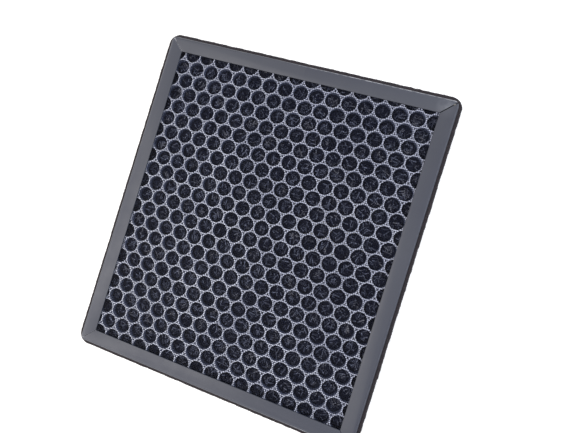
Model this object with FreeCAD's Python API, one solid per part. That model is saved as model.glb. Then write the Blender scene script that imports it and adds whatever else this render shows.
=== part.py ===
# Framed carbon filter panel, lying on its back with the front face up.
# The origin is the middle of the panel on the surface that it lies on.
# X runs across the panel, Y along it and Z through its thickness, in millimetres.

import FreeCAD, Part
import math
import os
from FreeCAD import Vector

# Folded frame strip
frame_width = 181.6
frame_length = 209.0
frame_depth = 12.0
strip_wall = 1.0
flange_width = 9.1
corner_bend_radius = 3.5
fold_bend_radius = 0.5
mitre_gap = 0.25
seam_gap = 0.5

# Retaining nets
net_thickness = 0.4
net_ridge_width = 0.8
net_gaps_across = 9
net_gaps_along = 10
net_border = 1.6

# Tube honeycomb and its carbon
cell_pitch = 10.0
cell_bore = 8.6
carbon_recess = 3.0
row_skew_degrees = 1.1
first_cell_x = 3.0
first_cell_y = 1.25

# Adhesive bead between the honeycomb and the frame
bead_thickness = 1.5

# Felt seal round the outside
seal_width = 6.0
seal_thickness = 2.6
seal_butt_gap = 0.6
seal_butt_place = -30.0

# Sizes that follow
web_radius = corner_bend_radius + strip_wall
fold_radius = fold_bend_radius + strip_wall
inner_width = frame_width - 2 * strip_wall
inner_length = frame_length - 2 * strip_wall
inner_depth = frame_depth - 2 * strip_wall
opening_width = frame_width - 2 * flange_width
opening_length = frame_length - 2 * flange_width
media_width = inner_width - 2 * bead_thickness
media_length = inner_length - 2 * bead_thickness
media_bottom = strip_wall + net_thickness
media_depth = inner_depth - 2 * net_thickness
media_top = media_bottom + media_depth


def plate(width, length, bottom, depth, x=0.0, y=0.0):
    """A square-cornered plate centred on (x, y)."""
    corner = Vector(x - width / 2, y - length / 2, bottom)
    return Part.makeBox(width, length, depth, corner)


def filleted(blank, radius, direction):
    """The blank with its edges along one direction rounded."""
    edges = [e for e in blank.Edges if abs(e.tangentAt(e.FirstParameter) * direction) > 0.999]
    return blank.makeFillet(radius, edges)


def rounded_plate(width, length, bottom, depth, corner_radius):
    """A plate with round corners seen from above."""
    return filleted(plate(width, length, bottom, depth), corner_radius, Vector(0, 0, 1))


def folded_plate(width, length, bottom, depth, corner_radius, rim_radius):
    """A rounded plate whose straight rims are folds, which run out at the corners."""
    folded = rounded_plate(width, length, bottom, depth, corner_radius)
    for direction in (Vector(1, 0, 0), Vector(0, 1, 0)):
        blank = plate(width, length, bottom, depth)
        folded = folded.common(filleted(blank, rim_radius, direction))
    return folded


def opening_corner(side_x, side_y):
    """A corner of the opening that the flanges leave."""
    return Vector(side_x * opening_width / 2, side_y * opening_length / 2, 0)


def bend_middle(side_x, side_y):
    """The middle of the web's outer corner bend."""
    inset = web_radius * (1 - math.sqrt(0.5))
    return Vector(side_x * (frame_width / 2 - inset), side_y * (frame_length / 2 - inset), 0)


def slit(start, end, width, bottom, depth):
    """A narrow upright cutter along the line from start to end."""
    run = end - start
    blank = Part.makeBox(run.Length, width, depth, Vector(0, -width / 2, bottom))
    blank.rotate(Vector(0, 0, 0), Vector(0, 0, 1), math.degrees(math.atan2(run.y, run.x)))
    blank.translate(start)
    return blank


def mitre_cutters(side_x, side_y):
    """The closed V-notch in the front and back flanges at one corner."""
    start = opening_corner(side_x, side_y)
    corner = bend_middle(side_x, side_y)
    outwards = (corner - start).normalize()
    start = start - outwards
    end = corner - outwards * fold_radius
    return [
        slit(start, end, mitre_gap, bottom, strip_wall)
        for bottom in (0.0, frame_depth - strip_wall)
    ]


def seam_cutter():
    """The ends of the strip meet at the far right corner, through flanges and web."""
    start = opening_corner(1, 1)
    corner = bend_middle(1, 1)
    outwards = (corner - start).normalize()
    return slit(start - outwards, corner + outwards, seam_gap, 0.0, frame_depth)


def frame_strip():
    """One strip folded to a U and bent round the panel, mitred at its corners."""
    outside = folded_plate(frame_width, frame_length, 0.0, frame_depth, web_radius, fold_radius)
    inside = folded_plate(
        inner_width, inner_length, strip_wall, inner_depth, corner_bend_radius, fold_bend_radius
    )
    window = plate(opening_width, opening_length, 0.0, frame_depth)
    cutters = [inside, window, seam_cutter()]
    for side_x, side_y in ((-1, 1), (-1, -1), (1, -1)):
        cutters += mitre_cutters(side_x, side_y)
    return outside.cut(cutters)


def cell_centres():
    """The centres of the tubes that show in the opening, row by row."""
    row_pitch = cell_pitch * math.sqrt(0.75)
    skew = math.radians(row_skew_degrees)
    reach_x = opening_width / 2 + cell_bore / 2
    reach_y = opening_length / 2 + cell_bore / 2
    rows = math.ceil(frame_length / row_pitch)
    columns = math.ceil(frame_width / cell_pitch)
    for row in range(-rows, rows + 1):
        for column in range(-columns, columns + 1):
            along = cell_pitch * (column + 0.5 * (row % 2))
            up = row_pitch * row
            x = first_cell_x + along * math.cos(skew) - up * math.sin(skew)
            y = first_cell_y + along * math.sin(skew) + up * math.cos(skew)
            if abs(x) < reach_x and abs(y) < reach_y:
                yield x, y


def cell_recess(x, y):
    """The empty front end of one tube, over its carbon."""
    side = cell_bore / math.sqrt(3)
    corners = []
    for step in range(7):
        angle = math.radians(30 + 60 * step + row_skew_degrees)
        corners.append(Vector(x + side * math.cos(angle), y + side * math.sin(angle), media_top))
    outline = Part.Face(Part.makePolygon(corners))
    return outline.extrude(Vector(0, 0, -carbon_recess))


def honeycomb_core():
    """The welded tubes with the carbon bed in each, level with the tube ends at the back."""
    block = plate(media_width, media_length, media_bottom, media_depth)
    return block.cut([cell_recess(x, y) for x, y in cell_centres()])


def net(bottom):
    """A net as a thin sheet of ridges round large square gaps."""
    sheet = plate(media_width, media_length, bottom, net_thickness)
    pitch_x = (media_width - 2 * net_border + net_ridge_width) / net_gaps_across
    pitch_y = (media_length - 2 * net_border + net_ridge_width) / net_gaps_along
    gaps = []
    for column in range(net_gaps_across):
        for row in range(net_gaps_along):
            x = (column - (net_gaps_across - 1) / 2) * pitch_x
            y = (row - (net_gaps_along - 1) / 2) * pitch_y
            gaps.append(plate(
                pitch_x - net_ridge_width, pitch_y - net_ridge_width, bottom, net_thickness, x, y
            ))
    return sheet.cut(gaps)


def edge_bead():
    """The adhesive that holds the honeycomb's cut edges in the frame's web."""
    bottom = fold_radius
    depth = frame_depth - 2 * fold_radius
    outside = rounded_plate(inner_width, inner_length, bottom, depth, corner_bend_radius)
    return outside.cut(plate(media_width, media_length, bottom, depth))


def edge_seal():
    """A felt strip stuck round the web at mid depth, its ends meeting on the near side."""
    bottom = (frame_depth - seal_width) / 2
    outside = rounded_plate(
        frame_width + 2 * seal_thickness, frame_length + 2 * seal_thickness,
        bottom, seal_width, web_radius + seal_thickness
    )
    inside = rounded_plate(frame_width, frame_length, bottom, seal_width, web_radius)
    butt = plate(
        seal_butt_gap, seal_thickness, bottom, seal_width,
        seal_butt_place, -(frame_length + seal_thickness) / 2
    )
    return outside.cut([inside, butt])


parts = {
    "frame_strip": frame_strip(),
    "honeycomb_core": honeycomb_core(),
    "front_net": net(media_top),
    "rear_net": net(strip_wall),
    "edge_bead": edge_bead(),
    "edge_seal": edge_seal(),
}

os.makedirs("parts", exist_ok=True)
for name, shape in parts.items():
    shape.exportStep(f"parts/{name}.step")
    print(name, "solids", len(shape.Solids), "valid", shape.isValid(), "volume", round(shape.Volume))
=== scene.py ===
import bpy
import bmesh
import math
from mathutils import Euler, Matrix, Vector, noise


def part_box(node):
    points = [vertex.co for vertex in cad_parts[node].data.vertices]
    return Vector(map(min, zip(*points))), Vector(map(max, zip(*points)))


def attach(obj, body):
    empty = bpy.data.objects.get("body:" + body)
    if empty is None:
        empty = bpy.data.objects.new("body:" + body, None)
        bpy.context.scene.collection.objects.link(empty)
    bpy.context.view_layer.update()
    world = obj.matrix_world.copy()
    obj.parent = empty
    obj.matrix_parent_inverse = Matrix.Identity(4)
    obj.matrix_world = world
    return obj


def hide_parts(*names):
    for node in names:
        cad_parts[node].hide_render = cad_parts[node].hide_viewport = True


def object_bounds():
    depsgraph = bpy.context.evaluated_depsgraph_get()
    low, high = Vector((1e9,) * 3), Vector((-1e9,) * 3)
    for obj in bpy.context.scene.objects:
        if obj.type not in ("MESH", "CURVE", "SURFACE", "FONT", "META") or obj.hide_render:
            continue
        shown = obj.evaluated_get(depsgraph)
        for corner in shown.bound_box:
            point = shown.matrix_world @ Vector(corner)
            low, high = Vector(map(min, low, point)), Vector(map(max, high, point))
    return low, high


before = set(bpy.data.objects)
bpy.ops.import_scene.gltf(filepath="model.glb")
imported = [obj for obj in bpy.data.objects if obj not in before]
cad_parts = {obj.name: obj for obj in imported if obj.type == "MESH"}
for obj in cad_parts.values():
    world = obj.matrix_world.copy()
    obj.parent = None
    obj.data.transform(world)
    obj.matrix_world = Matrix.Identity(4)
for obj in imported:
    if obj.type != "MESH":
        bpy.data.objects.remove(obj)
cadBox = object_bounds()
mm = 0.001
print("frame loaded")

frameLow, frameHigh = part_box("frame_strip")
coreLow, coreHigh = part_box("honeycomb_core")
frontNetLow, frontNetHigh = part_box("front_net")
rearNetLow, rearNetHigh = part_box("rear_net")
sealLow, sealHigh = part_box("edge_seal")

panel = {
    "flangeWidth": 9.1 * mm,
    "cornerRadius": 4.5 * mm,
}
frameHalf = (frameHigh - frameLow) / 2
openingHalf = Vector((frameHalf.x - panel["flangeWidth"], frameHalf.y - panel["flangeWidth"], 0))
mediaHalf = (coreHigh - coreLow) / 2


# One way to write sums for shader trees and geometry trees

class Wire:                                      # an output socket that can be used in sums
    def __init__(self, maker, socket):
        self.maker = maker
        self.socket = socket

    def calc(self, operation, *others):
        return self.maker.node("ShaderNodeMath", {"operation": operation}, [self, *others])

    def clamp(self):
        return self.maker.node("ShaderNodeClamp", {}, [self, 0.0, 1.0])

    def __add__(self, other):
        return self.calc("ADD", other)

    def __radd__(self, other):
        return self.calc("ADD", other)

    def __sub__(self, other):
        return self.calc("SUBTRACT", other)

    def __rsub__(self, other):
        return self.maker.node("ShaderNodeMath", {"operation": "SUBTRACT"}, [other, self])

    def __mul__(self, other):
        return self.calc("MULTIPLY", other)

    def __truediv__(self, other):
        return self.calc("DIVIDE", other)

    def __pow__(self, other):
        return self.calc("POWER", other)

    def __mod__(self, other):
        return self.calc("FLOORED_MODULO", other)

    def __gt__(self, other):
        return self.calc("GREATER_THAN", other)

    def __lt__(self, other):
        return self.calc("LESS_THAN", other)

    def __abs__(self):
        return self.calc("ABSOLUTE")


class TreeMaker:                                 # adds nodes to one tree
    def __init__(self, tree):
        self.tree = tree

    def node(self, kind, settings=None, values=None, out=0):
        made = self.tree.nodes.new(kind)
        for name, setting in (settings or {}).items():
            if name == "stops":
                self.setStops(made.color_ramp, setting)
            else:
                setattr(made, name, setting)
        pairs = values.items() if isinstance(values, dict) else enumerate(values or [])
        for key, value in pairs:
            self.feed(made.inputs[key], value)
        return Wire(self, made.outputs[out]) if made.outputs else made

    def feed(self, socket, value):
        if isinstance(value, Wire):
            self.tree.links.new(value.socket, socket)
        else:
            socket.default_value = value

    def setStops(self, ramp, stops):
        while len(ramp.elements) < len(stops):
            ramp.elements.new(0.5)
        for element, (place, shade) in zip(ramp.elements, stops):
            element.position = place
            element.color = shade

    def colours(self, factor, first, second):    # mixes two colours
        return self.node("ShaderNodeMix", {"data_type": "RGBA"}, {0: factor, 6: first, 7: second}, 2)

    def vector(self, x, y, z):
        return self.node("ShaderNodeCombineXYZ", {}, [x, y, z])

    def split(self, vector):
        parts = self.node("ShaderNodeSeparateXYZ", {}, [vector]).socket.node
        return [Wire(self, socket) for socket in parts.outputs]


def rgb(red, green, blue):                       # a colour given in display values from 0 to 255
    def linear(value):
        value = value / 255
        return value / 12.92 if value <= 0.04045 else ((value + 0.055) / 1.055) ** 2.4
    return (linear(red), linear(green), linear(blue), 1.0)


class Finish(TreeMaker):                         # a material under construction
    def __init__(self, name):
        self.material = bpy.data.materials.new(name)
        self.material.use_nodes = True
        super().__init__(self.material.node_tree)
        self.shader = next(n for n in self.tree.nodes if n.type == "BSDF_PRINCIPLED")
        self.place = self.node("ShaderNodeTexCoord", {}, {}, "Object")

    def noise(self, scale, detail=2.0, rough=0.5, place=None):
        values = {"Vector": place or self.place, "Scale": scale, "Detail": detail, "Roughness": rough}
        return self.node("ShaderNodeTexNoise", {}, values)

    def ramp(self, factor, stops):
        shades = [(place, (shade, shade, shade, 1.0)) for place, shade in stops]
        return self.node("ShaderNodeValToRGB", {"stops": shades}, [factor])

    def bump(self, height, distance, strength=1.0):
        values = {"Height": height, "Distance": distance, "Strength": strength}
        normal = self.node("ShaderNodeBump", {}, values)
        self.feed(self.shader.inputs["Normal"], normal)

    def set(self, **inputs):
        for name, value in inputs.items():
            self.feed(self.shader.inputs[name.replace("_", " ")], value)
        return self.material


class GeometryTree(TreeMaker):                   # a Geometry Nodes tree with named inputs
    kinds = {float: "NodeSocketFloat", int: "NodeSocketInt"}

    def __init__(self, name, sizes):
        super().__init__(bpy.data.node_groups.new(name, "GeometryNodeTree"))
        self.sizes = sizes
        self.identifiers = {}
        face = self.tree.interface
        face.new_socket(name="Geometry", in_out="INPUT", socket_type="NodeSocketGeometry")
        for label, value in sizes.items():
            socket = face.new_socket(name=label, in_out="INPUT", socket_type=self.kinds[type(value)])
            self.identifiers[label] = socket.identifier
        face.new_socket(name="Geometry", in_out="OUTPUT", socket_type="NodeSocketGeometry")
        entry = self.tree.nodes.new("NodeGroupInput")
        self.start = Wire(self, entry.outputs[0])
        self.inputs = {label: Wire(self, entry.outputs[label]) for label in sizes}

    def index(self):
        return self.node("GeometryNodeInputIndex")

    def chance(self, low, high, seed):           # a random number for each element
        values = {2: low, 3: high, 7: self.index(), 8: seed}
        return self.node("FunctionNodeRandomValue", {"data_type": "FLOAT"}, values, 1)

    def cylinder(self, sides, radius, depth):
        values = {"Vertices": sides, "Side Segments": 1, "Fill Segments": 1,
                  "Radius": radius, "Depth": depth}
        return self.node("GeometryNodeMeshCylinder", {"fill_type": "NGON"}, values)

    def wander(self, geometry, scale, reach):    # moves points by a slow noise, reach is (x, y, z)
        place = self.node("GeometryNodeInputPosition")
        values = {"Vector": place, "Scale": scale, "Detail": 1.0}
        drift = self.node("ShaderNodeTexNoise", {}, values, 1)
        centred = self.node("ShaderNodeVectorMath", {"operation": "SUBTRACT"}, [drift, (0.5, 0.5, 0.5)])
        offset = self.node("ShaderNodeVectorMath", {"operation": "MULTIPLY"}, [centred, reach])
        return self.node("GeometryNodeSetPosition", {}, {"Geometry": geometry, "Offset": offset})

    def close(self, geometry, material):         # every tree ends the same way
        plain = self.node("GeometryNodeRealizeInstances", {}, {"Geometry": geometry})
        values = {"Geometry": plain, "Material": material}
        finished = self.node("GeometryNodeSetMaterial", {}, values)
        leave = self.tree.nodes.new("NodeGroupOutput")
        self.tree.links.new(finished.socket, leave.inputs[0])


def addObject(name, mesh):
    made = bpy.data.objects.new(name, mesh)
    bpy.context.scene.collection.objects.link(made)
    return made


def runTree(name, startMesh, grower, material):  # turns a tree's result into a plain mesh object
    holder = addObject(name + "Holder", startMesh)
    modifier = holder.modifiers.new("grow", "NODES")
    modifier.node_group = grower.tree
    for label, value in grower.sizes.items():
        modifier[grower.identifiers[label]] = value
    bpy.context.view_layer.update()
    seen = holder.evaluated_get(bpy.context.evaluated_depsgraph_get())
    mesh = bpy.data.meshes.new_from_object(seen)
    bpy.data.objects.remove(holder)
    mesh.materials.clear()
    mesh.materials.append(material)
    mesh.name = name
    return addObject(name, mesh)


def meshFrom(name, points, faces):
    mesh = bpy.data.meshes.new(name)
    mesh.from_pydata(points, [], faces)
    mesh.update()
    return mesh


def blankMesh():                                 # what a tree starts from when it makes all its own points
    return meshFrom("blank", [(0, 0, 0)], [])


def smooth(piece, angle):                        # round shading, with edges sharper than the angle kept
    piece.data.shade_smooth()
    piece.data.set_sharp_from_angle(angle=math.radians(angle))


def settle(piece, slot, *nodes):                 # hangs every piece from the root, hides the parts it stands for and prints its triangle count
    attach(piece, "root")
    if nodes:
        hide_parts(*nodes)
    piece.data.calc_loop_triangles()
    print(piece.name, "triangles", len(piece.data.loop_triangles))


# Materials

sheet = {
    "shade": rgb(51, 54, 67),
    "paler": rgb(64, 66, 75),
    # the fold colour below is painted light on the rounded folds
    "foldPaintedLight": rgb(76, 78, 87),
    "markAndGlint": rgb(188, 188, 196),
    "seamHighlight": rgb(150, 151, 158),
    "topDepth": 1.3 * mm,                        # how far below the front face the marks reach
    "cloudShare": 0.45,                          # what makes the sheet paler, and how much each does: random clouds, painted shade that darkens it towards the folds, and painted light towards the far end and the far left
    "paintedFoldShadeShare": 0.5,
    "paintedLightFarShare": 0.4,
    "paintedLightFarLeftShare": 0.3,
    "paintedLightFarStart": 0.15,
    "foldReach": 2.2 * mm,                       # how far in the painted light on the folds, and the right fold's duller finish, reach
    "foldGain": 1.5,                             # how quickly the painted light grows towards the edge
    "foldNear": 0.8,                             # how much of the painted light the fold keeps on the near end and the far end
    "foldFar": 0.2,
    "foldMatte": 0.4,                            # the right fold is duller than the rest
    "foldLine": 0.75 * mm,                       # how far in from the edge the fold's marks lie
    "foldBand": 0.16 * mm,
    "foldStray": 0.5 * mm,
    "sideMarksAndHighlight": 0.08,                           # how strong the fold marks and the painted highlight at the seam are on the long sides
    "mitreBand": 0.4 * mm,
    "seamHighlightCentre": Vector((85, 99, 12)) * mm,          # a painted highlight where the strip's end bends at the seam's corner
    "seamHighlightReach": 7.0 * mm,
    "seamHighlightShare": 0.27,
    "grain": 0.05 * mm,
}


class Flange:                                    # where on the strip a point lies
    def __init__(self, f):
        self.x, self.y, z = f.split(f.place)
        self.fromSide = frameHalf.x - abs(self.x)
        self.fromEnd = frameHalf.y - abs(self.y)
        self.edge = self.fromSide.calc("MINIMUM", self.fromEnd)
        self.inward = (self.edge / panel["flangeWidth"]).clamp()
        self.onTop = z > frameHigh.z - sheet["topDepth"]
        self.onEnd = self.fromEnd < self.fromSide
        self.onSide = 1.0 - self.onEnd
        self.left = self.x < 0.0
        self.right = self.x > 0.0
        self.far = self.y > 0.0


def foldCracksAndGlints(f, at):                            # a broken pale line along the front folds: cracked coating, with painted glints on the fold ridge
    run = at.x * at.onEnd + at.y * at.onSide
    stray = at.edge + (f.noise(90.0, 1.0) - 0.5) * sheet["foldStray"]
    line = abs(stray - sheet["foldLine"]) < sheet["foldBand"]
    along = f.noise(300.0, 1.0, 0.5, f.vector(run, 0.0, 0.0))
    dashes = f.ramp(along, [(0.42, 0.15), (0.55, 1.0)])
    strength = f.ramp(f.noise(60.0, 2.0), [(0.36, 0.4), (0.6, 1.0)])
    strength = strength * (sheet["sideMarksAndHighlight"] + at.onEnd * (1.0 - sheet["sideMarksAndHighlight"]))
    towardsRight = f.ramp((at.x + at.y * 0.3) / frameHalf.x, [(0.2, 0.0), (0.6, 1.0)])
    return line * at.onTop * dashes * strength * towardsRight


def mitreMarks(f, at):                           # pale lines on the closed mitres of the left corners
    line = (abs(at.fromSide - at.fromEnd) < sheet["mitreBand"]) * at.onTop * at.left
    worn = f.ramp(f.noise(300.0, 2.0), [(0.35, 0.45), (0.6, 1.0)])
    return line * worn * (0.25 + at.far * (0.1 + (1.0 - at.inward) * 0.4))


def seamCornerHighlight(f, at):                           # a painted highlight beside the open seam, where the strip's end bends
    away = f.node("ShaderNodeVectorMath", {"operation": "DISTANCE"}, [f.place, sheet["seamHighlightCentre"]], 1)
    paintedHighlight = (1.0 - away / sheet["seamHighlightReach"]).clamp()
    patchy = f.ramp(f.noise(220.0), [(0.3, 0.3), (0.6, 1.0)])
    return paintedHighlight * patchy * at.onTop * (sheet["sideMarksAndHighlight"] + at.onEnd * sheet["seamHighlightShare"])


def sheetFinish():                               # satin grey sheet, marked along its folds, with painted light and shade in its tone and on its folds
    f = Finish("frameSheet")
    at = Flange(f)
    cloud = f.noise(18.0, 3.0, 0.6)
    grain = f.noise(2600.0, 2.0, 0.6)
    # painted light: the sheet is paler towards the far end, more so on the left
    far = (at.y / frameHalf.y + sheet["paintedLightFarStart"]).clamp()
    tone = f.ramp(cloud, [(0.35, 0.0), (0.68, 1.0)]) * sheet["cloudShare"]
    # painted shade: the sheet darkens towards its folds
    tone = tone + at.inward * sheet["paintedFoldShadeShare"]
    tone = tone + far * (sheet["paintedLightFarShare"] + at.left * sheet["paintedLightFarLeftShare"])
    base = f.colours(tone.clamp(), sheet["shade"], sheet["paler"])
    bent = (1.0 - at.edge / sheet["foldReach"]).clamp()
    dullSide = at.right * at.onSide
    onEnds = at.onEnd * (1.0 - sheet["foldNear"] + at.far * (sheet["foldNear"] - sheet["foldFar"]))
    # painted light on the rounded folds: paler on the left side and the near end, less on the far end, none
    # on the right
    pale = (bent * sheet["foldGain"]).clamp() * (1.0 - dullSide - onEnds)
    base = f.colours(pale, base, sheet["foldPaintedLight"])
    # painted highlight at the seam's corner
    base = f.colours(seamCornerHighlight(f, at), base, sheet["seamHighlight"])
    # cracks along the folds, partly painted glints
    base = f.colours(foldCracksAndGlints(f, at), base, sheet["markAndGlint"])
    base = f.colours(mitreMarks(f, at), base, sheet["markAndGlint"])
    f.bump(grain + cloud * 4.0, sheet["grain"], 0.35)
    roughness = f.ramp(f.noise(60.0, 3.0, 0.6), [(0.3, 0.40), (0.7, 0.52)])
    roughness = roughness + bent * dullSide * sheet["foldMatte"]
    return f.set(Base_Color=base, Roughness=roughness, Specular_IOR_Level=0.37)


tubeLook = {
    "rim": rgb(198, 203, 222),
    "rimDarker": rgb(177, 182, 204),
    "wall": rgb(176, 184, 214),
    "dust": rgb(80, 89, 119),
    "rightDarkening": 2.2,                            # how fast the rims grow darker to the right, per metre
    "farDarkening": 0.7,                              # how much of that they also do towards the far end
    "dustDepth": 3.6 * mm,
    "dustSpread": 1.1,
    "lip": 0.05 * mm,
    "grain": 0.06 * mm,
}


def tubeFinish():                                # pale plastic tubes, blackened inside by carbon dust
    f = Finish("tubePlastic")
    x, y, z = f.split(f.place)
    patches = f.noise(55.0, 2.0, 0.5)
    rimDarkening = patches + (x + y * tubeLook["farDarkening"]) * tubeLook["rightDarkening"]
    rim = f.colours(f.ramp(rimDarkening, [(0.35, 0.0), (0.65, 1.0)]), tubeLook["rim"], tubeLook["rimDarker"])
    middle = (coreLow.z + coreHigh.z) / 2
    depth = (coreHigh.z - coreLow.z) / 2 - abs(z - middle)
    dusty = depth / tubeLook["dustDepth"] + (f.noise(900.0, 3.0, 0.6) - 0.5) * tubeLook["dustSpread"]
    wall = f.colours(f.ramp(dusty.clamp(), [(0.15, 0.0), (0.95, 1.0)]), tubeLook["wall"], tubeLook["dust"])
    base = f.colours(depth > tubeLook["lip"], rim, wall)
    f.bump(f.noise(1500.0, 3.0, 0.6), tubeLook["grain"], 0.5)
    roughness = f.ramp(patches, [(0.3, 0.42), (0.7, 0.55)])
    return f.set(Base_Color=base, Roughness=roughness, Specular_IOR_Level=0.4)


carbonLook = {
    "black": rgb(1, 8, 35),
    # grey is the painted light on the rods' tops
    "grey": rgb(134, 141, 166),
    "brown": rgb(134, 134, 142),
    "paintedTopLight": 6.0,                                # how sharply the painted light keeps to the top of a rod
}


def carbonFinish():                              # charcoal rods, each a little greyer or browner, with painted light along their tops
    f = Finish("carbonPellet")
    tone = f.node("ShaderNodeAttribute", {"attribute_name": "tone"}, {}, "Fac")
    dust = f.noise(900.0, 2.0, 0.6)
    # painted light: each rod's top is grey, its sides dark
    facing = f.split(f.node("ShaderNodeTexCoord", {}, {}, "Normal"))[2]
    paintedTopLight = abs(facing) ** carbonLook["paintedTopLight"]
    shade = f.ramp(tone + (dust - 0.5) * 0.5, [(0.05, 0.03), (0.95, 1.0)]) * paintedTopLight
    base = f.colours(shade, carbonLook["black"], carbonLook["grey"])
    tint = f.ramp(f.noise(150.0, 1.0, 0.4), [(0.54, 0.0), (0.66, 1.0)])
    base = f.colours(tint * shade, base, carbonLook["brown"])
    f.bump(f.noise(3800.0, 3.0, 0.65), 0.08 * mm, 0.6)
    roughness = f.ramp(f.noise(500.0, 2.0, 0.5), [(0.35, 0.36), (0.7, 0.66)])
    return f.set(Base_Color=base, Roughness=roughness, Specular_IOR_Level=0.08)


threadLook = {"dark": rgb(13, 14, 20), "pale": rgb(30, 31, 42)}


def threadFinish():                              # fine plastic threads of the nets
    f = Finish("netThread")
    along = f.noise(700.0, 2.0, 0.5)
    base = f.colours(f.ramp(along, [(0.35, 0.0), (0.65, 1.0)]), threadLook["dark"], threadLook["pale"])
    f.bump(f.noise(5000.0, 2.0, 0.5), 0.02 * mm, 0.5)
    roughness = f.ramp(along, [(0.3, 0.45), (0.7, 0.6)])
    return f.set(Base_Color=base, Roughness=roughness, Specular_IOR_Level=0.1)


feltLook = {"dark": rgb(22, 18, 24), "brown": rgb(44, 35, 41), "pale": rgb(96, 86, 86)}


def feltFinish():                                # matted dark wool with paler hairs
    f = Finish("sealFelt")
    tufts = f.noise(900.0, 4.0, 0.7)
    base = f.colours(f.ramp(tufts, [(0.45, 0.0), (0.62, 1.0)]), feltLook["dark"], feltLook["brown"])
    hairs = f.ramp(f.noise(2100.0, 2.0, 0.6), [(0.62, 0.0), (0.70, 1.0)])
    base = f.colours(hairs * 0.5, base, feltLook["pale"])
    f.bump(tufts, 0.5 * mm, 0.9)
    roughness = f.ramp(tufts, [(0.3, 0.85), (0.7, 0.98)])
    f.set(Sheen_Weight=0.08, Sheen_Roughness=0.5)
    return f.set(Base_Color=base, Roughness=roughness)


glueLook = {"clear": rgb(196, 190, 170), "cloudy": rgb(222, 218, 204)}


def glueFinish():                                # set adhesive with clouds and ripples
    f = Finish("edgeAdhesive")
    cloud = f.noise(240.0, 3.0, 0.6)
    base = f.colours(f.ramp(cloud, [(0.35, 0.0), (0.65, 1.0)]), glueLook["clear"], glueLook["cloudy"])
    f.bump(f.noise(420.0, 2.0, 0.5), 0.2 * mm, 0.6)
    roughness = f.ramp(cloud, [(0.3, 0.22), (0.7, 0.4)])
    f.set(Coat_Weight=0.2)
    return f.set(Base_Color=base, Roughness=roughness)


finishes = {
    "sheet": sheetFinish(),
    "tube": tubeFinish(),
    "carbon": carbonFinish(),
    "thread": threadFinish(),
    "felt": feltFinish(),
    "glue": glueFinish(),
}
print("materials made")


# The lattice that the tubes and the carbon share

lattice = {
    "Pitch": 10.0 * mm,
    "Skew": math.radians(1.1),
    "First X": 3.0 * mm,
    "First Y": 1.25 * mm,
    "Columns": 26,
    "Rows": 30,
}


def keepInside(g, points, reachX, reachY):       # deletes the points outside a rectangle
    x, y = g.split(g.node("GeometryNodeInputPosition"))[:2]
    outside = (abs(x) > reachX) + (abs(y) > reachY)
    values = {"Geometry": points, "Selection": outside > 0.5}
    return g.node("GeometryNodeDeleteGeometry", {"domain": "POINT"}, values)


def latticePoints(g, reachX, reachY):            # tube centres inside a rectangle
    columns = g.inputs["Columns"]
    rows = g.inputs["Rows"]
    pitch = g.inputs["Pitch"]
    skew = g.inputs["Skew"]
    row = (g.index() / columns).calc("FLOOR") - (rows / 2).calc("FLOOR")
    column = g.index() % columns - (columns / 2).calc("FLOOR")
    along = pitch * (column + (row % 2.0) * 0.5)
    up = pitch * row * math.sqrt(0.75)
    x = g.inputs["First X"] + along * skew.calc("COSINE") - up * skew.calc("SINE")
    y = g.inputs["First Y"] + along * skew.calc("SINE") + up * skew.calc("COSINE")
    values = {"Count": columns * rows, "Position": g.vector(x, y, 0.0)}
    points = g.node("GeometryNodePoints", {}, values)
    return keepInside(g, points, reachX, reachY)


# Welded tubes

tubes = {
    "bore": 4.66 * mm,                           # inner radius
    "outer": 5.36 * mm,                          # radius that shows in the gaps between tubes
    "pitch": lattice["Pitch"],
    "wander": 0.5 * mm,
    "wanderScale": 45.0,
    "smoothAngle": 40,
}


def tubeMesh():                                  # one tube, flat where it is welded to its six neighbours
    weld = tubes["pitch"] / 2
    flat = math.degrees(math.acos(weld / tubes["outer"]))
    inner = []
    outer = []
    for side in range(6):
        inner += [(tubes["bore"], 60 * side + turn) for turn in (-15, 0, 15, 30)]
        outer += [(tubes["outer"], 60 * side - flat), (weld, 60 * side)]
        outer += [(tubes["outer"], 60 * side + flat), (tubes["outer"], 60 * side + 30)]
    points = []
    for ring, z in ((inner, coreHigh.z), (outer, coreHigh.z), (outer, coreLow.z), (inner, coreLow.z)):
        for radius, turn in ring:
            angle = math.radians(turn)
            points.append((radius * math.cos(angle), radius * math.sin(angle), z))
    count = len(inner)
    faces = []
    for ring in range(4):
        for step in range(count):
            after = (step + 1) % count
            here = ring * count
            there = (ring + 1) % 4 * count
            faces.append((here + step, there + step, there + after, here + after))
    return meshFrom("tube", points, faces)


def trimToCore(mesh):                            # saws off what stands outside the core and closes the cuts
    bm = bmesh.new()
    bm.from_mesh(mesh)
    for axis in (0, 1):
        for side in (-1, 1):
            normal = Vector((0, 0, 0))
            normal[axis] = side
            everything = bm.verts[:] + bm.edges[:] + bm.faces[:]
            place = normal * mediaHalf[axis]
            cut = bmesh.ops.bisect_plane(
                bm, geom=everything, plane_co=place, plane_no=normal, clear_outer=True
            )
            edges = [e for e in cut["geom_cut"] if isinstance(e, bmesh.types.BMEdge)]
            bmesh.ops.holes_fill(bm, edges=edges, sides=0)
    bm.to_mesh(mesh)
    bm.free()


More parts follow.
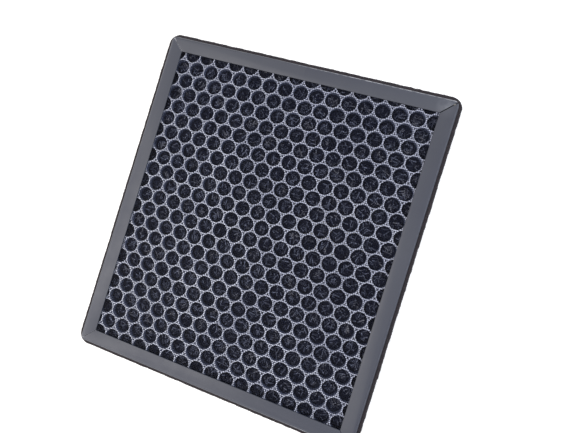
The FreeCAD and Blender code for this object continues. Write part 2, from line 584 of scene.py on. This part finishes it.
def makeTubes():
    g = GeometryTree("tubeBlock", lattice)
    points = latticePoints(g, mediaHalf.x + tubes["bore"], mediaHalf.y + tubes["bore"])
    turn = g.vector(0.0, 0.0, g.inputs["Skew"])
    values = {"Points": points, "Instance": g.start, "Rotation": turn}
    block = g.node("GeometryNodeInstanceOnPoints", {}, values)
    block = g.node("GeometryNodeRealizeInstances", {}, {"Geometry": block})
    block = g.wander(block, tubes["wanderScale"], (tubes["wander"], tubes["wander"], 0.0))
    g.close(block, finishes["tube"])
    piece = runTree("tubeHoneycomb", tubeMesh(), g, finishes["tube"])
    trimToCore(piece.data)
    smooth(piece, tubes["smoothAngle"])
    settle(piece, "tube_plastic", "honeycomb_core")


makeTubes()
print("tubes made")


# Carbon pellets

carbon = {
    "recess": 3.0 * mm,                          # how far the carbon lies below the tubes' front ends
    "backRecess": 0.1 * mm,
    "radius": 0.72 * mm,
    "length": 3.5 * mm,
    "front": 22,                                 # pellets that show in each tube
    "back": 11,
    "frontSeed": 11,
    "backSeed": 41,
    "depth": 1.5 * mm,                           # how deep the pellets that show lie under each other
    "sink": 0.6,
    "wallSink": 0.7,                             # the heap falls away beside the wall
    "spread": 3.3 * mm,
    "swingAtWall": 0.35,                         # how far pellets turn from lying along the wall, in radians
    "swingInside": 1.5,
    "tilt": 0.32,
    "shortest": 0.65,
    "longest": 1.3,
    "toneBias": 1.6,
    "play": 0.05 * mm,                           # between the carbon's bed and the tube
    "smoothAngle": 62,
}
openingReach = openingHalf + Vector((tubes["bore"], tubes["bore"], 0))


def pelletTree(name, count, top, facing, seed):  # facing is 1 at the front and -1 at the back
    sizes = dict(lattice)
    sizes.update({
        "Each": count, "Top": top, "Facing": facing, "Spread": carbon["spread"],
        "Radius": carbon["radius"], "Length": carbon["length"], "Depth": carbon["depth"],
    })
    g = GeometryTree(name, sizes)
    centres = latticePoints(g, openingReach.x, openingReach.y)
    values = {"Geometry": centres, "Amount": g.inputs["Each"]}
    heap = g.node("GeometryNodeDuplicateElements", {"domain": "POINT"}, values)
    out = g.chance(0.0, 1.0, seed).calc("SQRT")
    angle = g.chance(0.0, math.tau, seed + 1)
    reach = g.inputs["Spread"] * out
    sunk = g.chance(0.0, 1.0, seed + 2)
    slope = sunk * sunk * carbon["sink"] + out ** 5 * carbon["wallSink"]
    drop = g.inputs["Radius"] + g.inputs["Depth"] * slope
    z = g.inputs["Top"] - g.inputs["Facing"] * drop
    offset = g.vector(reach * angle.calc("COSINE"), reach * angle.calc("SINE"), z)
    heap = g.node("GeometryNodeSetPosition", {}, {"Geometry": heap, "Offset": offset})
    margin = g.inputs["Length"] / 1.8            # no pellet reaches past the core
    heap = keepInside(g, heap, mediaHalf.x - margin, mediaHalf.y - margin)
    inner = ((0.8 - out) * 5.0).clamp()          # 0 beside the tube's wall, where pellets lie along it
    swing = carbon["swingAtWall"] + inner * carbon["swingInside"]
    yaw = angle + math.pi / 2 + g.chance(-1.0, 1.0, seed + 3) * swing
    tilt = g.chance(-carbon["tilt"], carbon["tilt"], seed + 4) + math.pi / 2
    rod = g.cylinder(6, g.inputs["Radius"], g.inputs["Length"])
    stretch = g.chance(carbon["shortest"], carbon["longest"], seed + 5)
    values = {"Points": heap, "Instance": rod, "Rotation": g.vector(0.0, tilt, yaw),
              "Scale": g.vector(1.0, 1.0, stretch)}
    pellets = g.node("GeometryNodeInstanceOnPoints", {}, values)
    settings = {"data_type": "FLOAT", "domain": "INSTANCE"}
    tone = g.chance(0.0, 1.0, seed + 6) ** carbon["toneBias"]
    values = {"Geometry": pellets, "Name": "tone", "Value": tone}
    pellets = g.node("GeometryNodeStoreNamedAttribute", settings, values)
    g.close(pellets, finishes["carbon"])
    return g


def makePellets():
    frontTop = coreHigh.z - carbon["recess"]
    backTop = coreLow.z + carbon["backRecess"]
    front = pelletTree("frontPellets", carbon["front"], frontTop, 1.0, carbon["frontSeed"])
    back = pelletTree("backPellets", carbon["back"], backTop, -1.0, carbon["backSeed"])
    for name, tree in (("carbonPelletsFront", front), ("carbonPelletsBack", back)):
        piece = runTree(name, blankMesh(), tree, finishes["carbon"])
        smooth(piece, carbon["smoothAngle"])
        settle(piece, "carbon", "honeycomb_core")


def makeBeds():                                  # the carbon under the pellets that show
    low = coreLow.z + carbon["radius"]
    high = coreHigh.z - carbon["recess"] - carbon["radius"] * 2
    sizes = dict(lattice)
    radius = tubes["bore"] - carbon["play"]
    sizes.update({"Radius": radius, "Height": high - low, "Middle": (high + low) / 2})
    g = GeometryTree("carbonBed", sizes)
    centres = latticePoints(g, openingReach.x, openingReach.y)
    bed = g.cylinder(12, g.inputs["Radius"], g.inputs["Height"])
    beds = g.node("GeometryNodeInstanceOnPoints", {}, {"Points": centres, "Instance": bed})
    beds = g.node("GeometryNodeRealizeInstances", {}, {"Geometry": beds})
    lift = g.vector(0.0, 0.0, g.inputs["Middle"])
    beds = g.node("GeometryNodeSetPosition", {}, {"Geometry": beds, "Offset": lift})
    g.close(beds, finishes["carbon"])
    piece = runTree("carbonBeds", blankMesh(), g, finishes["carbon"])
    trimToCore(piece.data)
    settle(piece, "carbon", "honeycomb_core")


makePellets()
makeBeds()
print("carbon made")


# Nets

net = {
    "Pitch": 1.08 * mm,
    "Thread": 0.18 * mm,
    "Layer": 0.2 * mm,
    "Wander": 0.25 * mm,
    "Wander Scale": 30.0,
}


def threadLayer(g, along, across, layer, turned):   # parallel threads, side by side
    count = (across / g.inputs["Pitch"]).calc("FLOOR")
    place = (g.index() - (count - 1.0) / 2.0) * g.inputs["Pitch"]
    spot = g.vector(0.0, place, layer) if turned else g.vector(place, 0.0, layer)
    points = g.node("GeometryNodePoints", {}, {"Count": count, "Position": spot})
    if turned:
        size = g.vector(along, g.inputs["Thread"], g.inputs["Layer"])
        cuts = {"Vertices X": 11}
    else:
        size = g.vector(g.inputs["Thread"], along, g.inputs["Layer"])
        cuts = {"Vertices Y": 13}
    thread = g.node("GeometryNodeMeshCube", {}, {"Size": size, **cuts})
    return g.node("GeometryNodeInstanceOnPoints", {}, {"Points": points, "Instance": thread})


def makeNet(name, low, high, node):
    sizes = dict(net)
    sizes.update({"Width": high.x - low.x, "Length": high.y - low.y, "Low": low.z})
    g = GeometryTree(name, sizes)
    width = g.inputs["Width"] - g.inputs["Wander"] * 2.0
    length = g.inputs["Length"] - g.inputs["Wander"] * 2.0
    half = g.inputs["Layer"] / 2.0
    lower = threadLayer(g, length, width, g.inputs["Low"] + half, False)
    upper = threadLayer(g, width, length, g.inputs["Low"] + half * 3.0, True)
    both = g.node("GeometryNodeJoinGeometry")
    g.tree.links.new(lower.socket, both.socket.node.inputs[0])
    g.tree.links.new(upper.socket, both.socket.node.inputs[0])
    plain = g.node("GeometryNodeRealizeInstances", {}, {"Geometry": both})
    reach = g.vector(g.inputs["Wander"], g.inputs["Wander"], 0.0)
    plain = g.wander(plain, g.inputs["Wander Scale"], reach)
    g.close(plain, finishes["thread"])
    piece = runTree(name, blankMesh(), g, finishes["thread"])
    settle(piece, "net_thread", node)


makeNet("netFront", frontNetLow, frontNetHigh, "front_net")
makeNet("netBack", rearNetLow, rearNetHigh, "rear_net")
print("nets made")


# Folded frame strip

strip = {
    "weld": 0.001 * mm,                          # points closer than this are one
    "flatAngle": 0.4,                            # degrees between faces that count as one plane
    "bevel": 0.12 * mm,
    "bevelSteps": 2,
    "bevelAngle": 33,
    "smoothAngle": 25,
}


def makeStrip():                                 # the folded strip with its cut and folded edges softened
    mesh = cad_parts["frame_strip"].data.copy()
    mesh.name = "foldedStrip"
    bm = bmesh.new()
    bm.from_mesh(mesh)
    bmesh.ops.remove_doubles(bm, verts=bm.verts, dist=strip["weld"])
    kept = set()                                 # cuts that part each flange's ring into quarters
    for axis in (0, 1):
        normal = Vector((0, 0, 0))
        normal[axis] = 1
        everything = bm.verts[:] + bm.edges[:] + bm.faces[:]
        bmesh.ops.bisect_plane(bm, geom=everything, plane_co=(0, 0, 0), plane_no=normal)
    for edge in bm.edges:
        for axis in (0, 1):
            if all(abs(vert.co[axis]) < strip["weld"] / 10 for vert in edge.verts):
                kept.add(edge)
    free = [edge for edge in bm.edges if edge not in kept]
    flat = math.radians(strip["flatAngle"])
    bmesh.ops.dissolve_limit(bm, angle_limit=flat, verts=[], edges=free)
    bm.to_mesh(mesh)
    bm.free()
    piece = addObject("foldedStrip", mesh)
    bevel = piece.modifiers.new("soften", "BEVEL")
    bevel.width = strip["bevel"]
    bevel.segments = strip["bevelSteps"]
    bevel.limit_method = "ANGLE"
    bevel.angle_limit = math.radians(strip["bevelAngle"])
    seen = piece.evaluated_get(bpy.context.evaluated_depsgraph_get())
    finished = bpy.data.meshes.new_from_object(seen)
    piece.modifiers.clear()
    piece.data = finished
    finished.materials.clear()
    finished.materials.append(finishes["sheet"])
    smooth(piece, strip["smoothAngle"])
    settle(piece, "frame_sheet", "frame_strip")


makeStrip()
print("strip made")


# Felt seal

felt = {
    "step": 1.1 * mm,                            # distance between sections along the strip
    "bendStep": 15,                              # degrees between sections in the corners
    "rough": 0.22 * mm,
    "tuftScale": 1500,
    "swellScale": 260,
    "pressed": 0.1,                              # how far in the face is pressed, as a share of rough
    "edgeRound": 0.5 * mm,
    "hairs": 8000,
    "area": 0.0085,                              # of the strip's faces, in square metres
    "hairLength": 0.7 * mm,
    "shortest": 0.5,
    "longest": 1.4,
    "hairLean": 1.1,                             # radians
    "hairThickness": 0.045 * mm,
    "buttGap": 0.25 * mm,
    "buttPlace": -30.0 * mm,
    "seed": 7,
}


def roundedTrack(halfX, halfY, radius):          # points round the frame with their outward directions
    left, right = radius - halfX, halfX - radius
    near, far = radius - halfY, halfY - radius
    butt, gap = felt["buttPlace"], felt["buttGap"]
    track = []

    def straight(begin, end, outward):
        pieces = max(1, round((end - begin).length / felt["step"]))
        for part in range(pieces + 1):
            track.append((begin.lerp(end, part / pieces), outward))

    def bend(centre, start):
        for turn in range(felt["bendStep"], 90, felt["bendStep"]):
            angle = math.radians(start + turn)
            outward = Vector((math.cos(angle), math.sin(angle)))
            track.append((centre + outward * radius, outward))

    south, east, north, west = Vector((0, -1)), Vector((1, 0)), Vector((0, 1)), Vector((-1, 0))
    straight(Vector((butt + gap / 2, -halfY)), Vector((right, -halfY)), south)
    bend(Vector((right, near)), -90)
    straight(Vector((halfX, near)), Vector((halfX, far)), east)
    bend(Vector((right, far)), 0)
    straight(Vector((right, halfY)), Vector((left, halfY)), north)
    bend(Vector((left, far)), 90)
    straight(Vector((-halfX, far)), Vector((-halfX, near)), west)
    bend(Vector((left, near)), 180)
    straight(Vector((left, -halfY)), Vector((butt - gap / 2, -halfY)), south)
    return track


def feltSection(thickness):                      # (distance outwards, height) round the strip
    low, high, edge = sealLow.z, sealHigh.z, felt["edgeRound"]
    side = [0.25, 0.5, 0.75]
    section = [(0.0, low)]
    section += [(thickness * share, low) for share in side]
    section += [(thickness - edge * 0.3, low + edge * 0.3), (thickness, low + edge)]
    section += [(thickness, low + (high - low) * share) for share in (0.3, 0.5, 0.7)]
    section += [(thickness, high - edge), (thickness - edge * 0.3, high - edge * 0.3)]
    section += [(thickness * share, high) for share in reversed(side)]
    return section + [(0.0, high)]


def makeSeal():
    thickness = sealHigh.x - frameHigh.x
    track = roundedTrack(frameHigh.x, frameHigh.y, panel["cornerRadius"])
    section = feltSection(thickness)
    noise.seed_set(felt["seed"])
    points = []
    for place, outward in track:
        for away, z in section:
            spot = Vector((place.x + outward.x * away, place.y + outward.y * away, z))
            loose = away / thickness             # 0 where the felt is stuck to the frame
            shove = noise.noise_vector(spot * felt["tuftScale"]) * felt["rough"] * loose
            swell = noise.noise(spot * felt["swellScale"]) * felt["rough"] * loose
            spot += shove + outward.to_3d() * (swell - felt["rough"] * felt["pressed"] * loose)
            points.append(spot)
    across = len(section)
    faces = []
    for step in range(len(track) - 1):
        for side in range(across):
            after = (side + 1) % across
            here = step * across
            there = here + across
            faces.append((here + side, there + side, there + after, here + after))
    faces.append(tuple(range(across)))
    faces.append(tuple(reversed(range(len(points) - across, len(points)))))
    mesh = meshFrom("sealBody", points, faces)
    mesh.materials.append(finishes["felt"])
    piece = addObject("feltSeal", mesh)
    piece.data.shade_smooth()
    settle(piece, "felt", "edge_seal")
    return piece


def makeHairs(body):                             # loose fibres that stand out of the felt
    sizes = {"Density": felt["hairs"] / felt["area"], "Length": felt["hairLength"],
             "Thickness": felt["hairThickness"], "Seed": felt["seed"]}
    g = GeometryTree("feltFibres", sizes)
    values = {"Mesh": g.start, "Density": g.inputs["Density"], "Seed": g.inputs["Seed"]}
    scatter = g.node("GeometryNodeDistributePointsOnFaces", {}, values)
    turned = Wire(g, scatter.socket.node.outputs["Rotation"])
    values = {"Vertices": 3, "Side Segments": 1, "Fill Segments": 1, "Radius Top": 0.0,
              "Radius Bottom": g.inputs["Thickness"], "Depth": g.inputs["Length"]}
    hair = g.node("GeometryNodeMeshCone", {}, values)
    most = felt["hairLean"]
    lean = g.vector(g.chance(-most, most, 3), g.chance(-most, most, 4), 0.0)
    values = {"Rotation": turned, "Rotate By": lean}
    turned = g.node("FunctionNodeRotateRotation", {"rotation_space": "LOCAL"}, values)
    stretch = g.chance(felt["shortest"], felt["longest"], 5)
    values = {"Points": scatter, "Instance": hair, "Rotation": turned,
              "Scale": g.vector(1.0, 1.0, stretch)}
    hairs = g.node("GeometryNodeInstanceOnPoints", {}, values)
    g.close(hairs, finishes["felt"])
    piece = runTree("feltHairs", body.data.copy(), g, finishes["felt"])
    settle(piece, "felt", "edge_seal")


makeHairs(makeSeal())
print("seal made")

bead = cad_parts["edge_bead"]               # hidden in the frame, keeps its shape
bead.data.materials.clear()
bead.data.materials.append(finishes["glue"])


# Floor, light and camera

studio = {
    "floorShade": 0.82,
    "floorGlow": 0.42,
    "floorHalf": 6.0,
    "floorGap": 0.02 * mm,
    "worldLevel": 0.62,
    "keyPlace": (-0.35, -0.25, 0.75),
    "keySize": 0.6,
    "keyPower": 6.4,
    "keyTint": (1.0, 0.96, 0.91),
    "fillPlace": (0.6, 0.2, 0.42),
    "fillSize": 0.7,
    "fillPower": 3.68,
    "fillTint": (0.80, 0.88, 1.0),
    "cameraPlace": Vector((41.65, 12.4, 254.0)) * mm,
    "cameraTurn": (3.059, 11.147, 17.614),
    "lens": 25.0,
    "shift": (0.0685, -0.0134),
}


def shownRay(maker):                             # 1 where the eye, a mirror or glass sees the surface
    path = maker.node("ShaderNodeLightPath").socket.node
    rays = [Wire(maker, path.outputs[name]) for name in
            ("Is Camera Ray", "Is Glossy Ray", "Is Transmission Ray")]
    return (rays[0] + rays[1] + rays[2]).clamp()


def makeFloor():
    half = studio["floorHalf"]
    z = cadBox[0][2] - studio["floorGap"]
    corners = [(-half, -half, z), (half, -half, z), (half, half, z), (-half, half, z)]
    floor = addObject("floor", meshFrom("floor", corners, [(0, 1, 2, 3)]))
    f = Finish("floorWhite")
    f.set(Base_Color=(studio["floorShade"],) * 3 + (1.0,), Roughness=0.8, Specular_IOR_Level=0.1)
    glow = f.node("ShaderNodeEmission", {}, [(1.0, 1.0, 1.0, 1.0), shownRay(f) * studio["floorGlow"]])
    both = f.node("ShaderNodeAddShader", {}, [Wire(f, f.shader.outputs[0]), glow])
    out = next(n for n in f.tree.nodes if n.type == "OUTPUT_MATERIAL")
    f.tree.links.new(both.socket, out.inputs["Surface"])
    floor.data.materials.append(f.material)


def makeWorld():
    world = bpy.data.worlds.new("studio")
    world.use_nodes = True
    bpy.context.scene.world = world
    w = TreeMaker(world.node_tree)
    shown = shownRay(w)
    level = studio["worldLevel"] + shown * (1.0 - studio["worldLevel"])
    back = next(n for n in world.node_tree.nodes if n.type == "BACKGROUND")
    back.inputs["Color"].default_value = (1.0, 1.0, 1.0, 1.0)
    w.feed(back.inputs["Strength"], level)


def addLamp(kind):                               # a square lamp that looks at the panel's middle
    lamp = bpy.data.lights.new(kind + "Lamp", "AREA")
    lamp.shape = "SQUARE"
    lamp.size = studio[kind + "Size"]
    lamp.energy = studio[kind + "Power"]
    lamp.color = studio[kind + "Tint"]
    place = Vector(studio[kind + "Place"])
    holder = addObject(kind + "Lamp", lamp)
    holder.location = place
    holder.rotation_euler = (-place).to_track_quat("-Z", "Y").to_euler()


def makeCamera():
    lens = bpy.data.cameras.new("camera")
    lens.lens = studio["lens"]
    lens.sensor_width = 36.0
    lens.shift_x, lens.shift_y = studio["shift"]
    lens.clip_start = 0.01
    lens.clip_end = 50.0
    camera = addObject("camera", lens)
    camera.location = studio["cameraPlace"]
    camera.rotation_euler = Euler([math.radians(a) for a in studio["cameraTurn"]])
    bpy.context.scene.camera = camera


makeFloor()
makeWorld()
addLamp("key")
addLamp("fill")
makeCamera()
bpy.context.scene.view_settings.view_transform = "Standard"
print("studio made")
